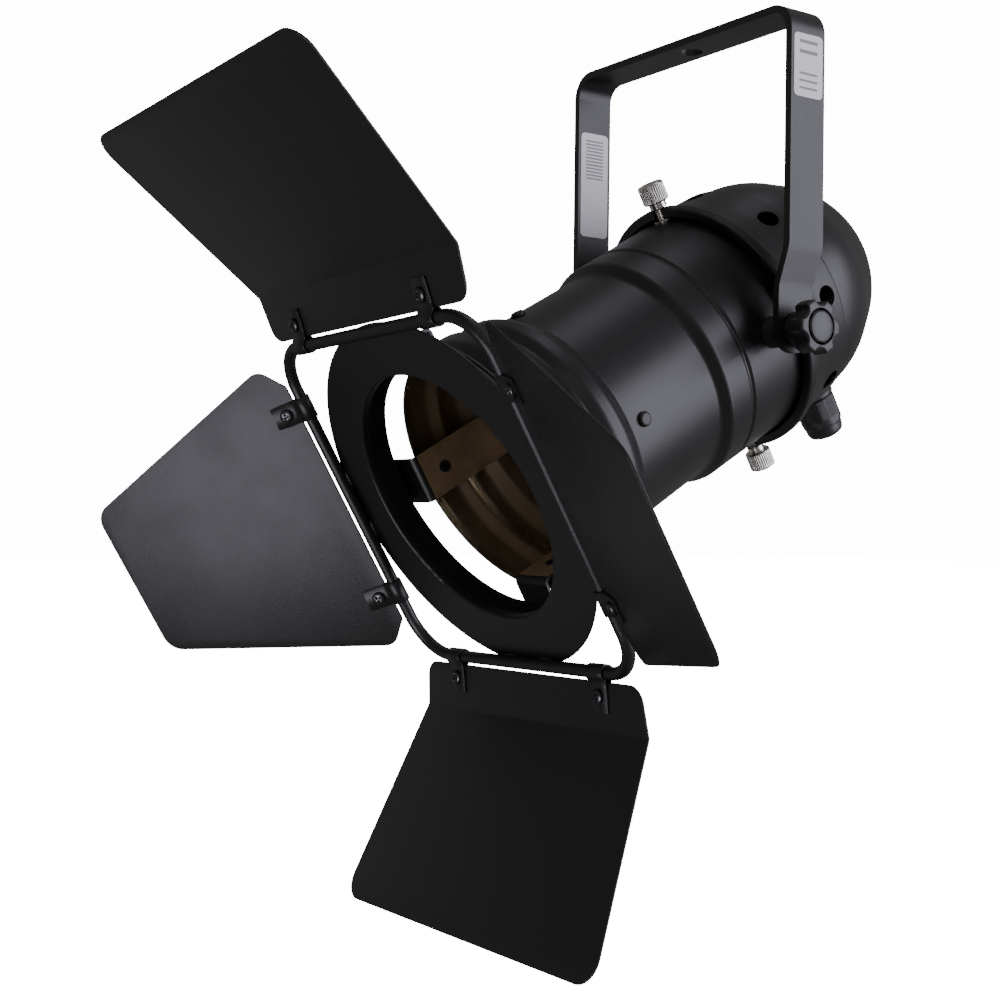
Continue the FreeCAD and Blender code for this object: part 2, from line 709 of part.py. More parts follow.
def rounded_path(points):
    """A wire of straight runs joined by tangent arcs through a list of points."""
    edges = []
    start = points[0]
    for before, corner, after in zip(points, points[1:], points[2:]):
        back = before - corner
        onward = after - corner
        half = back.getAngle(onward) / 2
        reach = 0.45 * min(back.Length, onward.Length)
        radius = reach * math.tan(half)
        enter = corner + back.normalize() * reach
        leave = corner + onward.normalize() * reach
        bisector = (back + onward).normalize()
        middle = corner + bisector * (radius / math.sin(half) - radius)
        edges.append(Part.LineSegment(start, enter).toShape())
        edges.append(Part.Arc(enter, middle, leave).toShape())
        start = leave
    edges.append(Part.LineSegment(start, points[-1]).toShape())
    return Part.Wire(edges)


def make_lead(label, points, radius):
    """An insulated inner lead: a round tube along its path, in the can's frame."""
    spine = rounded_path([Vector(*point) for point in points])
    direction = Vector(*points[1]) - Vector(*points[0])
    profile = Part.Wire(Part.Circle(Vector(*points[0]), direction, radius).toShape())
    lead = doc.addObject("Part::Feature", label)
    lead.Label = label
    lead.Shape = spine.makePipeShell([profile], True, True)
    lead.Placement = can_frame
    sub_parts.append(lead)


def make_leads():
    """Leads from the terminal block to the lamp holder, and the earth lead to the cap."""
    for name, x in (("lead_live", -9), ("lead_neutral", 9)):
        make_lead(name, [(x, -31, -80), (x, -31, -90.5), (x, -20.4, -91.5)], 1.3)
    make_lead("lead_earth", [(0, -31, -73), (0, -31, -62), (-16, -33, -53), (-34, -24, -48),
                             (-44.6, -3.2, -53)], 1.3)


def make_lamp():
    """The reflector lamp: glass bowl, front lens and screw cap."""
    front = "lamp_front"
    turned("lamp_bowl", can_frame, [
        (13.9, "holder_front + 0.6"), (16.5, "holder_front + 0.6"), (17.5, "holder_front + 9", 8),
        (38, "lamp_front - 34", 30), ("lamp_radius", f"{front} - 9", 12),
        ("lamp_radius", front), ("lamp_radius - 1.6", front),
        ("lamp_radius - 1.6", f"{front} - 8.6", 11), (36.8, "lamp_front - 33", 28),
        (15.9, "holder_front + 10.4", 7), (13.9, "holder_front + 6")])
    turned("lamp_lens", can_frame, [
        (0, f"{front} + 1.6"), ("lamp_radius - 1", f"{front} + 0.05"),
        ("lamp_radius", f"{front} + 0.05"), ("lamp_radius", f"{front} + 1.6", 0.6),
        (0, f"{front} + 4.2")])
    turned("lamp_cap", can_frame, [
        (0, "holder_back + 6.7"), (4.2, "holder_back + 6.7", 1), (4.6, "holder_back + 8"),
        (9.5, "holder_back + 11", 2), (13.2, "holder_back + 13", 1),
        (13.2, "holder_front + 0.5"), (13.8, "holder_front + 0.5"),
        (13.8, "holder_front + 4"), (0, "holder_front + 4")])


# ---------------------------------------------------------------- barn door


def make_door_plate():
    """The front plate with its turned-back bore, and the hub ring that sits in the clips."""
    turned("door_plate", door_frame, [
        ("aperture_radius", "plate_front", 1.2), ("plate_radius", "plate_front", 0.4),
        ("plate_radius", "plate_front - sheet", 0.4),
        ("aperture_radius + sheet", "plate_front - sheet"),
        ("aperture_radius + sheet", "plate_front - 4"), ("aperture_radius", "plate_front - 4")])
    low = "channel_place + 7.6"
    top = "plate_front - sheet - 0.02"
    turned("door_hub", door_frame, [
        ("aperture_radius + 0.7", low), ("ring_radius", low), ("ring_radius", f"{low} + sheet"),
        (61.2, f"{low} + sheet"), (61.2, top), (60.1, top), (60.1, f"{low} + sheet"),
        ("aperture_radius + 0.7", f"{low} + sheet")])


def make_door_wire():
    """The square wire frame in front of the plate, which the leaves hinge on."""
    body = add_body("door_wire", door_frame)
    side = "wire_side / 2"
    spine = add_sketch(body, "XY_Plane", (0, 0, "wire_place"))
    outline(spine, [(f"-{side}", f"-{side}", "wire_corner"), (side, f"-{side}", "wire_corner"),
                    (side, side, "wire_corner"), (f"-{side}", side, "wire_corner")])
    section = add_sketch(body, "XZ_Plane")
    circle(section, f"-{side}", "wire_place", "wire_radius")
    pipe = body.newObject("PartDesign::AdditivePipe", "door_wire_pipe")
    pipe.Profile = section
    pipe.Spine = spine
    doc.recompute()


TAB_PLACES = {
    "top": (-53.4, 50.2),
    "left": (-45.1, 50.9),
    "bottom": (-51.4, 53.4),
    "right": (-47.9, 44.2),
}


def both_sides(right, shift):
    """An outline's right-hand corners and their mirror images, moved sideways together."""
    moved = [(f"{shift} + {x}", *rest) for x, *rest in right]
    mirrored = [(f"{shift} - {x}", *rest) for x, *rest in reversed(right)]
    return moved + mirrored


def make_bent_leaf(side):
    """A top or bottom leaf: a short flange on the wire, then a wide blade bent forward."""
    body = add_body(f"leaf_{side}", leaf_frame(side))
    half = "leaf_thick / 2"
    shift = f"{half} * tan(leaf_bend / 2)"
    end_y = "(flange_length + blade_length * cos(leaf_bend))"
    end_z = "blade_length * sin(leaf_bend)"
    profile = add_sketch(body, "YZ_Plane")
    outline(profile, [
        ("leaf_gap", f"-{half}"),
        (f"flange_length + {shift}", f"-{half}", 3),
        (f"{end_y} + {half} * sin(leaf_bend)", f"{end_z} - {half} * cos(leaf_bend)"),
        (f"{end_y} - {half} * sin(leaf_bend)", f"{end_z} + {half} * cos(leaf_bend)"),
        (f"flange_length - {shift}", half, 2),
        ("leaf_gap", half)])
    pad(body, profile, "blade_half * 2 + 10", symmetric=True)
    trim = add_sketch(body, "XY_Plane")
    box_outline(trim, -130, -20, 130, 150)
    right = [("hinge_half", "leaf_gap - 0.4", 8), ("bend_half", "flange_length"),
             ("blade_half", f"{end_y} + 0.4", "leaf_corner")]
    outline(trim, both_sides(right, f"{side}_shift"))
    pocket(body, trim, 300)
    for x in TAB_PLACES[side]:
        hole = add_sketch(body, "XY_Plane")
        circle(hole, x, "tab_screw", 1.7)
        pocket(body, hole, 4)


def make_flat_leaf(side):
    """A side leaf: flat, widest near its hinge and narrower outward."""
    body = add_body(f"leaf_{side}", leaf_frame(side))
    right = [("side_hinge_half", "leaf_gap", 3), ("side_wide_half", "side_wide_place", 7),
             ("side_end_half", "side_length", "leaf_corner")]
    sketch = add_sketch(body, "XY_Plane")
    outline(sketch, both_sides(right, f"{side}_shift"))
    for x in TAB_PLACES[side]:
        circle(sketch, x, "tab_screw", 1.7)
    pad(body, sketch, "leaf_thick", symmetric=True)


def make_leaf_tabs(side):
    """The two folded strips that wrap the wire and clamp the leaf between their tails."""
    body = add_body(f"leaf_{side}_tabs", leaf_frame(side))
    inner = "(leaf_thick / 2 + 0.05)"
    for x in TAB_PLACES[side]:
        loop = add_sketch(body, "YZ_Plane", (0, 0, x))
        circle(loop, 0, 0, "wire_radius + running_gap + tab_thick")
        circle(loop, 0, 0, "wire_radius + running_gap")
        pad(body, loop, "tab_width", symmetric=True)
        for sign in (1, -1):
            tail = add_sketch(body, "YZ_Plane", (0, 0, x))
            near, far = f"{sign} * {inner}", f"{sign} * ({inner} + tab_thick)"
            box_outline(tail, 3.0, near, "tab_length", far)
            pad(body, tail, "tab_width", symmetric=True)
        hole = add_sketch(body, "XY_Plane")
        circle(hole, x, "tab_screw", 1.7)
        pocket(body, hole, 8)


def make_leaf_screws(side):
    """The pan-head screws and nuts through each tab and the leaf."""
    body = add_body(f"leaf_{side}_screws", leaf_frame(side))
    face = "(leaf_thick / 2 + tab_thick + 0.1)"
    for x in TAB_PLACES[side]:
        add_screw(body, x, "tab_screw", face, 1.5, 3.1, 2.0, -6.4, f"-{face}", 5.5)


# ---------------------------------------------------------------- build and write

make_yoke()
make_label("label_outer", "yoke_width / 2 + 0.02", 98.5, 27)
make_label("label_inner", "0.02 - yoke_width / 2 + strap_thick", 59, 52)
for side in SIDES:
    make_pivot(side)
make_can()
for side in CLIPS:
    make_front_clip(side)
make_clip_fasteners()
make_thumbscrew("top", 1)
make_thumbscrew("bottom", -1)
make_screw_inserts()
make_colour_frame()
make_rear_cap()
make_gland()
make_lamp_holder()
make_rear_hardware()
make_leads()
make_lamp()
make_door_plate()
make_door_wire()
for side in LEAVES:
    if side in ("top", "bottom"):
        make_bent_leaf(side)
    else:
        make_flat_leaf(side)
    make_leaf_tabs(side)
    make_leaf_screws(side)
doc.recompute()

for item in doc.Objects:
    if "Invalid" in item.State or "Error" in item.State:
        raise RuntimeError(f"{item.Name} is {item.State}")
os.makedirs("parts", exist_ok=True)
for part in sub_parts:
    if part.Shape.isNull() or not part.Shape.isValid() or not part.Shape.Solids:
        raise RuntimeError(f"{part.Label} has no valid shape")
    part.Shape.exportStep(f"parts/{part.Label}.step")
    print(f"{part.Label}: {len(part.Shape.Solids)} solid(s), {part.Shape.Volume:.0f} mm3")
print(f"{len(sub_parts)} sub-parts")
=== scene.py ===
import json
import math

import bmesh
import bpy
from mathutils import Matrix, Vector
from mathutils.noise import noise


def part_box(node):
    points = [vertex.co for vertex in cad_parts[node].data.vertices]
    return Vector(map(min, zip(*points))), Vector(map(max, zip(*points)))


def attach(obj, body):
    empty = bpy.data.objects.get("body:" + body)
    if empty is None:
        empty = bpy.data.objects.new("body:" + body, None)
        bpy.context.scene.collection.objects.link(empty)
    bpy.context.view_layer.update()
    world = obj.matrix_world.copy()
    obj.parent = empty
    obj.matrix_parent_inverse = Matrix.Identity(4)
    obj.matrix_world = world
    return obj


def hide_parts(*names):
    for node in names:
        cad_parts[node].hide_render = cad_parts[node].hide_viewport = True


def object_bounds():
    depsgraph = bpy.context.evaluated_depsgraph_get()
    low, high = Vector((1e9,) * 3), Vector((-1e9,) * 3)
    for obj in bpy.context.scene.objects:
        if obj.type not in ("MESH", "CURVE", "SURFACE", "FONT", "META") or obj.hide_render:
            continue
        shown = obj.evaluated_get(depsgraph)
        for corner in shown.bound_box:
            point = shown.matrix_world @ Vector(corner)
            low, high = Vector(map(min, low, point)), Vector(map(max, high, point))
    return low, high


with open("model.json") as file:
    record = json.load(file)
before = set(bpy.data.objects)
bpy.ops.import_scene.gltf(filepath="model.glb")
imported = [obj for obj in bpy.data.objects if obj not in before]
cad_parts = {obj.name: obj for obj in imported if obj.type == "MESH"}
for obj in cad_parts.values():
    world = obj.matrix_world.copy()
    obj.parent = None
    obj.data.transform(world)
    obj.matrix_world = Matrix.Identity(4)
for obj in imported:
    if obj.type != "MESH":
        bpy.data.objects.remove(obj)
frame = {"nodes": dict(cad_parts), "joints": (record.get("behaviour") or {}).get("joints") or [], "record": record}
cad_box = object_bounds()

# Lengths below are in millimetres in each piece's own frame, and MM turns them into metres.
MM = 0.001
TAU = 2 * math.pi
# Places along the can, from the tilt axis towards the light's front.
GLAND_PLACE = -61
THUMBSCREW_PLACE = -14.7

JOINTS = {joint["name"]: joint for joint in frame["joints"]}
NODES = frame["nodes"]

# ---------------------------------------------------------------- frames, from the joints


def axes_matrix(origin, x_axis, y_axis, z_axis):
    """A frame from its origin in metres and its axes, with millimetres inside."""
    matrix = Matrix((x_axis, y_axis, z_axis)).transposed().to_4x4()
    return Matrix.Translation(origin) @ matrix @ Matrix.Scale(MM, 4)


PIVOT = Vector(JOINTS["can_tilt"]["pos_m"])
ROW_X = Vector((1, 0, 0))
BEAM = Vector(JOINTS["barn_door_spin"]["axis"]).normalized()
CAN_UP = BEAM.cross(ROW_X)
CAN = axes_matrix(PIVOT, ROW_X, CAN_UP, BEAM)


def aimed(origin, z_axis, near_x):
    """A frame whose Z points along z_axis and whose X is as near to near_x as can be."""
    z_axis = z_axis.normalized()
    y_axis = z_axis.cross(near_x).normalized()
    return axes_matrix(origin, y_axis.cross(z_axis), y_axis, z_axis)


def pivot_frame(side):
    """Z outward along the tilt axis, from the pivot."""
    return aimed(PIVOT, ROW_X if side == "right" else -ROW_X, BEAM)


def radial_frame(place, sign):
    """Z outward from the can's axis, upward or downward, at a place along the beam."""
    return aimed(PIVOT + BEAM * place * MM, CAN_UP * sign, ROW_X)


# Each leaf's angle from the beam at rest, in degrees: all its screws and tabs follow it.
LEAF_ANGLES = {"top": 100.5, "left": 52.0, "bottom": 65.5, "right": 67.5}
# How far each leaf sits off centre along its wire.
LEAF_SHIFTS = {"top": 0.6, "left": 2.2, "bottom": 1.0, "right": -3.8}
TAB_PLACES = {
    "top": (-53.4, 50.2),
    "left": (-45.1, 50.9),
    "bottom": (-51.4, 53.4),
    "right": (-47.9, 44.2),
}


def leaf_frame(side):
    """X along the leaf's hinge wire, Y along the leaf away from it, Z towards the front."""
    hinge = JOINTS[f"leaf_{side}_hinge"]
    origin = Vector(hinge["pos_m"])
    x_axis = -Vector(hinge["axis"]).normalized()
    outward = BEAM.cross(x_axis)
    angle = math.radians(LEAF_ANGLES[side])
    y_axis = outward * math.sin(angle) + BEAM * math.cos(angle)
    return axes_matrix(origin, x_axis, y_axis, x_axis.cross(y_axis))


# ---------------------------------------------------------------- materials


class Look:
    """A node material under construction, with one Principled shader."""

    def __init__(self, name, base, roughness, inputs=()):
        self.material = bpy.data.materials.new(name)
        self.material.use_nodes = True
        self.tree = self.material.node_tree
        self.shader = self.tree.nodes["Principled BSDF"]
        self.shader.inputs["Base Color"].default_value = (*base, 1)
        self.shader.inputs["Roughness"].default_value = roughness
        for key, value in dict(inputs).items():
            self.shader.inputs[key].default_value = value
        self.material.diffuse_color = (*base, 1)
        self.place = self.node("ShaderNodeTexCoord").outputs["Object"]

    def node(self, kind, **settings):
        made = self.tree.nodes.new(kind)
        for key, value in settings.items():
            setattr(made, key, value)
        return made

    def link(self, source, target):
        self.tree.links.new(source, target)

    def noise(self, scale, detail=3.0, rough=0.5):
        made = self.node("ShaderNodeTexNoise")
        made.inputs["Scale"].default_value = scale
        made.inputs["Detail"].default_value = detail
        made.inputs["Roughness"].default_value = rough
        self.link(self.place, made.inputs["Vector"])
        return made.outputs["Fac"]

    def span(self, source, low, high, from_low=0.3, from_high=0.7):
        """Map a value onto a range."""
        made = self.node("ShaderNodeMapRange")
        for key, value in (("From Min", from_low), ("From Max", from_high),
                           ("To Min", low), ("To Max", high)):
            made.inputs[key].default_value = value
        self.link(source, made.inputs["Value"])
        return made.outputs["Result"]

    def mix(self, factor, first, second):
        """Blend two colours by a factor."""
        made = self.node("ShaderNodeMix", data_type="RGBA")
        self.link(factor, made.inputs["Factor"])
        for key, value in (("A", first), ("B", second)):
            socket = [s for s in made.inputs if s.name == key and s.type == "RGBA"][0]
            if isinstance(value, tuple):
                socket.default_value = (*value, 1)
            else:
                self.link(value, socket)
        return [s for s in made.outputs if s.type == "RGBA"][0]

    def bump(self, height, distance, strength=1.0):
        """Add a bump, in metres, on top of any bump that is there already."""
        made = self.node("ShaderNodeBump")
        made.inputs["Distance"].default_value = distance
        made.inputs["Strength"].default_value = strength
        self.link(height, made.inputs["Height"])
        normal = self.shader.inputs["Normal"]
        if normal.is_linked:
            self.link(normal.links[0].from_socket, made.inputs["Normal"])
        self.link(made.outputs["Normal"], normal)

    def set(self, key, source):
        self.link(source, self.shader.inputs[key])


def powder_coat(name, base, roughness, peel):
    """Black powder coat: fine orange peel, faint mottling and a few specks of dust."""
    look = Look(name, base, roughness)
    fine = look.noise(1100, 2.0)
    broad = look.noise(38, 4.0)
    specks = look.noise(900, 0.0)
    dust = look.span(specks, 0.0, 1.0, 0.86, 0.90)
    worn = tuple(c * 1.14 for c in base)
    colour = look.mix(look.span(broad, 0.0, 1.0), base, worn)
    pale = tuple(min(1.0, c * 5) for c in base)
    look.set("Base Color", look.mix(dust, colour, pale))
    look.set("Roughness", look.span(broad, roughness - 0.015, roughness + 0.02))
    look.bump(fine, peel, 1.0)
    return look.material


def inside_tint_with_painted_light(name, level):
    """A bronze-brown tint inside the can, with cloudy patches; level scales its brightness, and the two levels
    used are painted shade (darker) and painted light (brighter).
    """
    dark = tuple(c * level for c in (0.25, 0.17, 0.095))
    light = tuple(c * level for c in (0.30, 0.21, 0.125))
    look = Look(name, light, 0.45, {"Metallic": 0.3})
    cloud = look.noise(60, 5.0, 0.6)
    grain = look.noise(1500, 2.0)
    look.set("Base Color", look.mix(look.span(cloud, 0, 1), dark, light))
    look.set("Roughness", look.span(cloud, 0.36, 0.52))
    look.bump(grain, 0.00003)
    return look.material


def moulded(name, base, roughness, grain=0.00004):
    """Moulded plastic with a fine spark-eroded grain."""
    look = Look(name, base, roughness)
    fine = look.noise(2600, 2.0)
    broad = look.noise(90, 3.0)
    look.set("Roughness", look.span(broad, roughness - 0.04, roughness + 0.06))
    look.set("Base Color", look.mix(look.span(broad, 0, 1), base, tuple(c * 1.3 for c in base)))
    look.bump(fine, grain)
    return look.material


def plated(name, base, roughness, scratch=0.00001):
    """Plated or turned metal: tiny scratches and cloudy dulling."""
    look = Look(name, base, roughness, {"Metallic": 1.0})
    stretch = look.node("ShaderNodeMapping")
    stretch.inputs["Scale"].default_value = (1.0, 1.0, 9.0)
    look.link(look.place, stretch.inputs["Vector"])
    look.place = stretch.outputs["Vector"]
    lines = look.noise(900, 3.0, 0.7)
    cloud = look.noise(160, 3.0)
    dull = tuple(c * 0.78 for c in base)
    look.set("Base Color", look.mix(look.span(cloud, 0, 1), dull, base))
    look.set("Roughness", look.span(lines, roughness * 0.75, roughness * 1.4))
    look.bump(lines, scratch)
    return look.material


def sticker(name, stripes):
    """Satin white vinyl with plain grey bars that say nothing."""
    look = Look(name, (0.78, 0.78, 0.8), 0.38)
    fibre = look.noise(700, 3.0)
    split = look.node("ShaderNodeSeparateXYZ")
    look.link(look.place, split.inputs["Vector"])
    height = split.outputs["Z"]
    bars = None
    for low, high, pitch, share in stripes:
        cycle = look.node("ShaderNodeMath", operation="FRACT")
        scaled = look.node("ShaderNodeMath", operation="MULTIPLY")
        scaled.inputs[1].default_value = 1 / (pitch * MM)
        look.link(height, scaled.inputs[0])
        look.link(scaled.outputs[0], cycle.inputs[0])
        dark = look.node("ShaderNodeMath", operation="LESS_THAN")
        dark.inputs[1].default_value = share
        look.link(cycle.outputs[0], dark.inputs[0])
        inside = dark.outputs[0]
        for limit, kind in ((low, "GREATER_THAN"), (high, "LESS_THAN")):
            test = look.node("ShaderNodeMath", operation=kind)
            look.link(height, test.inputs[0])
            test.inputs[1].default_value = limit
            both = look.node("ShaderNodeMath", operation="MULTIPLY")
            look.link(inside, both.inputs[0])
            look.link(test.outputs[0], both.inputs[1])
            inside = both.outputs[0]
        if bars is None:
            bars = inside
        else:
            union = look.node("ShaderNodeMath", operation="MAXIMUM")
            look.link(bars, union.inputs[0])
            look.link(inside, union.inputs[1])
            bars = union.outputs[0]
    depth = split.outputs["Y"]
    middle = look.node("ShaderNodeMath", operation="ABSOLUTE")
    look.link(depth, middle.inputs[0])
    margin = look.node("ShaderNodeMath", operation="LESS_THAN")
    margin.inputs[1].default_value = 5.4 * MM
    look.link(middle.outputs[0], margin.inputs[0])
    within = look.node("ShaderNodeMath", operation="MULTIPLY")
    look.link(bars, within.inputs[0])
    look.link(margin.outputs[0], within.inputs[1])
    paper = look.mix(look.span(fibre, 0, 1), (0.74, 0.74, 0.76), (0.82, 0.82, 0.84))
    look.set("Base Color", look.mix(within.outputs[0], paper, (0.2, 0.2, 0.21)))
    look.set("Roughness", look.span(fibre, 0.34, 0.46))
    return look.material


def pressed_glass(name):
    """Lens glass with a stippled back."""
    look = Look(name, (0.95, 0.97, 0.97), 0.08, {"Transmission Weight": 1.0, "IOR": 1.47})
    look.shader.inputs["Alpha"].default_value = 1.0
    cells = look.node("ShaderNodeTexVoronoi", feature="SMOOTH_F1")
    cells.inputs["Scale"].default_value = 260
    look.link(look.place, cells.inputs["Vector"])
    look.bump(cells.outputs["Distance"], 0.0006)
    look.set("Roughness", look.span(look.noise(120), 0.05, 0.12))
    return look.material


MATERIALS = {
    "yoke_paint": powder_coat("yoke_paint", (0.017, 0.0165, 0.0168), 0.40, 0.00003),
    "can_paint": powder_coat("can_paint", (0.0135, 0.013, 0.0135), 0.38, 0.000025),
    "sheet_paint": powder_coat("sheet_paint", (0.015, 0.0146, 0.0148), 0.42, 0.00005),
    "black_screws": plated("black_screws", (0.10, 0.10, 0.105), 0.30),
    "black_plastic": moulded("black_plastic", (0.022, 0.022, 0.024), 0.40),
    "spacer_plastic": moulded("spacer_plastic", (0.04, 0.04, 0.042), 0.42),
    "plated_steel": plated("plated_steel", (0.86, 0.83, 0.78), 0.20),
    "seal_rubber": moulded("seal_rubber", (0.03, 0.03, 0.03), 0.7),
    "ceramic": moulded("ceramic", (0.82, 0.79, 0.72), 0.3, 0.00002),
    "brass": plated("brass", (0.83, 0.62, 0.28), 0.25),
    "lead_brown": moulded("lead_brown", (0.2, 0.08, 0.03), 0.6, 0.0001),
    "lead_blue": moulded("lead_blue", (0.04, 0.1, 0.4), 0.6, 0.0001),
    "lead_green": moulded("lead_green", (0.1, 0.33, 0.07), 0.6, 0.0001),
    "reflector": plated("reflector", (0.9, 0.9, 0.88), 0.08, 0.00002),
    "lens_glass": pressed_glass("lens_glass"),
    # Two copies of the bronze-brown inside tint: the darker one, on the tube, is painted shade; the brighter one,
    # on the clips, is painted light.
    "inside_tint_painted_shade": inside_tint_with_painted_light("inside_tint_painted_shade", 0.6),
    "inside_tint_painted_light": inside_tint_with_painted_light("inside_tint_painted_light", 1.5),
}

# ---------------------------------------------------------------- mesh helpers


def add_rows(bm, rows, closed=True, first_cap=True, last_cap=True):
    """Skin a list of rings of points with quads, and close the ends."""
    rings = [[bm.verts.new(point) for point in row] for row in rows]
    for low, high in zip(rings, rings[1:]):
        count = len(low)
        for index in range(count if closed else count - 1):
            after = (index + 1) % count
            bm.faces.new((low[index], low[after], high[after], high[index]))
    if first_cap:
        bm.faces.new(list(reversed(rings[0])))
    if last_cap:
        bm.faces.new(rings[-1])
    return rings


def add_lathe(bm, profile, segments=96, shape=None, centre=(0, 0), ends=(True, True)):
    """Turn (radius, height) points about Z.  shape(angle, radius, height) may change a radius."""
    rows = []
    for radius, height in profile:
        row = []
        for index in range(segments):
            angle = TAU * index / segments
            reach = shape(angle, radius, height) if shape else radius
            row.append(Vector((centre[0] + reach * math.cos(angle),
                               centre[1] + reach * math.sin(angle), height)))
        rows.append(row)
    add_rows(bm, rows, first_cap=ends[0], last_cap=ends[1])


def rounded_outline(corners, steps=8):
    """Points round a closed outline of (x, y, rounding radius) corners."""
    points = []
    count = len(corners)
    for index in range(count):
        corner = Vector(corners[index][:2])
        back = (Vector(corners[index - 1][:2]) - corner).normalized()
        onward = (Vector(corners[(index + 1) % count][:2]) - corner).normalized()
        radius = corners[index][2]
        if radius == 0:
            points.append(corner)
            continue
        half = back.angle(onward) / 2
        reach = radius / math.tan(half)
        centre = corner + (back + onward).normalized() * radius / math.sin(half)
        start = corner + back * reach - centre
        end = corner + onward * reach - centre
        first = math.atan2(start.y, start.x)
        sweep = math.atan2(start.x * end.y - start.y * end.x, start.dot(end))
        for step in range(steps + 1):
            angle = first + sweep * step / steps
            points.append(centre + radius * Vector((math.cos(angle), math.sin(angle))))
    return points


def finish_piece(name, bm, matrix, body, material, stands_for=(), sharp=35):
    """Make a piece from mesh code, put it in the row frame and let it ride on its body."""
    bmesh.ops.remove_doubles(bm, verts=bm.verts, dist=0.0005)
    bmesh.ops.recalc_face_normals(bm, faces=bm.faces)
    mesh = bpy.data.meshes.new(name)
    bm.to_mesh(mesh)
    bm.free()
    mesh.transform(matrix)
    if matrix.determinant() < 0:
        mesh.flip_normals()
    piece = bpy.data.objects.new(name, mesh)
    bpy.context.scene.collection.objects.link(piece)
    mesh.materials.append(MATERIALS[material] if isinstance(material, str) else material)
    smooth(piece, sharp)
    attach(piece, body)
    if stands_for:
        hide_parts(*stands_for)
    return piece


def smooth(piece, sharp=35):
    """Shade smooth, but keep edges sharper than an angle in degrees."""
    mesh = piece.data
    mesh.shade_smooth()
    mesh.set_sharp_from_angle(angle=math.radians(sharp))


# ---------------------------------------------------------------- fasteners and turned pieces


def cross_recess(x, y, reach, half_width, depth):
    """How far a cross recess is sunk at a place on a screw head."""
    distance = math.hypot(x, y)
    if distance > reach:
        return 0.0
    nearest = min(abs(x), abs(y))
    wall = max(0.0, min(1.0, (half_width - nearest) / (0.35 * half_width)))
    slope = 1.0 - 0.55 * (distance / reach)
    return depth * wall * slope


def add_pan_screw(bm, centre, under, head_radius, head_height, shank_radius, tip, turn=0.3):
    """A pan-head screw with a cross recess, its head above its underside at height under."""
    ring_count, segments = 18, 72
    rows = []
    top = under + head_height
    for ring in range(1, ring_count + 1):
        share = ring / ring_count
        bend = share * math.pi / 2
        radius = head_radius * math.sin(bend)
        height = under + head_height * (0.25 + 0.75 * math.cos(bend) ** 0.7)
        row = []
        for index in range(segments):
            angle = TAU * index / segments
            x, y = radius * math.cos(angle), radius * math.sin(angle)
            turned = (x * math.cos(turn) + y * math.sin(turn),
                      y * math.cos(turn) - x * math.sin(turn))
            sunk = cross_recess(*turned, head_radius * 0.62, head_radius * 0.17, head_height * 0.6)
            row.append(Vector((centre[0] + x, centre[1] + y, height - sunk)))
        rows.append(row)
    rows.append([Vector((p.x, p.y, under)) for p in rows[-1]])
    for height in (under, tip):
        rows.append([Vector((centre[0] + shank_radius * math.cos(TAU * index / segments),
                             centre[1] + shank_radius * math.sin(TAU * index / segments),
                             height)) for index in range(segments)])
    rings = add_rows(bm, rows, first_cap=False)
    crown = bm.verts.new((centre[0], centre[1], top - head_height * 0.6))
    first = rings[0]
    for index in range(segments):
        bm.faces.new((crown, first[(index + 1) % segments], first[index]))


def hex_radius(angle, flats):
    """Distance from a hexagon's centre to its side at an angle."""
    sector = (angle + math.pi / 6) % (math.pi / 3) - math.pi / 6
    return flats / 2 / math.cos(sector)


def add_nut(bm, centre, low, high, flats, bore):
    """A hexagon nut with chamfered corners, both ends."""
    wide = flats / 2 / math.cos(math.pi / 6)
    bevel = 0.12 * flats

    def shape(angle, radius, height):
        if radius <= bore + 0.01:
            return radius
        return min(hex_radius(angle, flats), radius)

    profile = [(bore, low), (flats * 0.46, low), (wide, low + bevel), (wide, high - bevel),
               (flats * 0.46, high), (bore, high)]
    add_lathe(bm, profile, 72, shape, centre, (False, False))


def leaf_screws(side):
    """Screws and nuts that clamp a leaf between its tabs."""
    face = 1.4
    bm = bmesh.new()
    for index, x in enumerate(TAB_PLACES[side]):
        centre = (x, 9.7)
        add_pan_screw(bm, centre, face, 3.1, 1.9, 1.5, -4.8, 0.4 + 1.1 * index)
        add_nut(bm, centre, -face - 2.3, -face, 5.5, 1.52)
    finish_piece(f"{side}_leaf_screws", bm, leaf_frame(side), f"leaf_{side}", "black_screws",
                 [f"leaf_{side}_screws"], sharp=28)


def thumbscrew(side, sign):
    """A nickel-plated thumbscrew: straight knurl, chamfered ends, neck and threaded shank."""
    flutes = 34
    knurl_low, knurl_high = 65.2, 72.6

    def shape(angle, radius, height):
        if not knurl_low < height < knurl_high:
            return radius
        wave = abs(math.sin(flutes * angle / 2))
        return radius - 0.42 * (1 - wave) ** 1.5

    bm = bmesh.new()
    profile = [(0.01, 50.0), (1.9, 50.0), (2.45, 50.6)]
    pitch = 0.8
    turns = 14
    for turn in range(turns):
        base = 50.8 + turn * pitch
        profile += [(2.45, base), (2.05, base + pitch / 2)]
    profile += [(2.45, 61.62), (3.6, 61.62), (4.0, 61.9), (4.0, 64.1), (4.0, 64.5), (5.5, 64.5),
                (6.0, 64.95), (6.1, 65.19), (6.1, 65.3), (6.1, 67.5), (6.1, 70.0), (6.1, 72.5),
                (6.1, 72.61), (5.95, 73.1), (5.4, 73.45), (3.0, 73.5), (2.4, 73.3), (0.01, 73.3)]
    add_lathe(bm, profile, flutes * 8, shape)
    finish_piece(f"{side}_thumbscrew", bm, radial_frame(THUMBSCREW_PLACE, sign), f"thumbscrew_{side}",
                 "plated_steel", [f"thumbscrew_{side}"], sharp=24)


